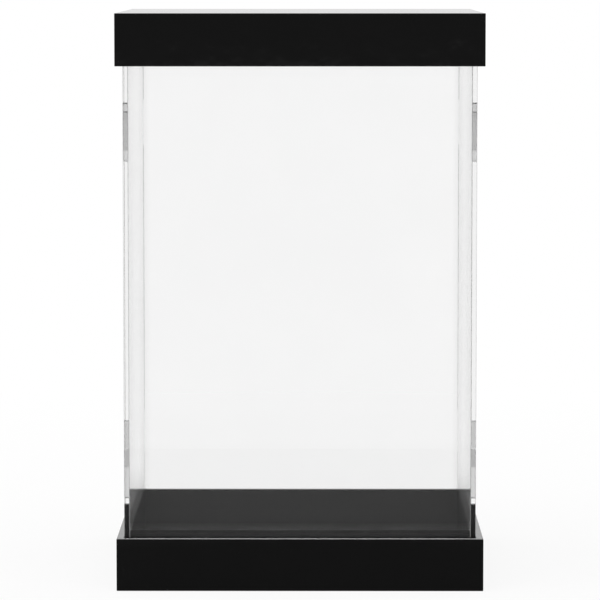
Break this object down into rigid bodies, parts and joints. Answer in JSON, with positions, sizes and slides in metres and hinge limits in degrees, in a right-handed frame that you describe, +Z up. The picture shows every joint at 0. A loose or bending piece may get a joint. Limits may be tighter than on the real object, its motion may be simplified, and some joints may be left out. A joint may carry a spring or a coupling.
{
  "type": "acrylic display box",
  "caption": "Clear acrylic display box: interlocking clear sheets stand in a black tray base under a lift-off black lid.",
  "frame": {"origin": "middle of the underside, on the surface that the box stands on", "axes": "+Z up along the height, -Y towards the front, +X to the right as seen from the front"},
  "size_m": [0.14, 0.14, 0.22],
  "materials": {
    "black_acrylic": "polished",
    "clear_acrylic": "polished"
  },
  "bodies": {
    "base": {"base_plate": "black_acrylic", "base_front_strip": "black_acrylic", "base_back_strip": "black_acrylic", "base_left_strip": "black_acrylic", "base_right_strip": "black_acrylic"},
    "case": {"front_panel": "clear_acrylic", "back_panel": "clear_acrylic", "left_panel": "clear_acrylic", "right_panel": "clear_acrylic"},
    "lid": {"lid_plate": "black_acrylic", "lid_front_strip": "black_acrylic", "lid_back_strip": "black_acrylic", "lid_left_strip": "black_acrylic", "lid_right_strip": "black_acrylic"}
  },
  "joints": [
    {"name": "case_lift", "type": "slide", "parent": "base", "child": "case", "axis": [0, 0, 1], "range_m": [0, 0.24]},
    {"name": "lid_lift", "type": "slide", "parent": "case", "child": "lid", "axis": [0, 0, 1], "range_m": [0, 0.24]}
  ]
}
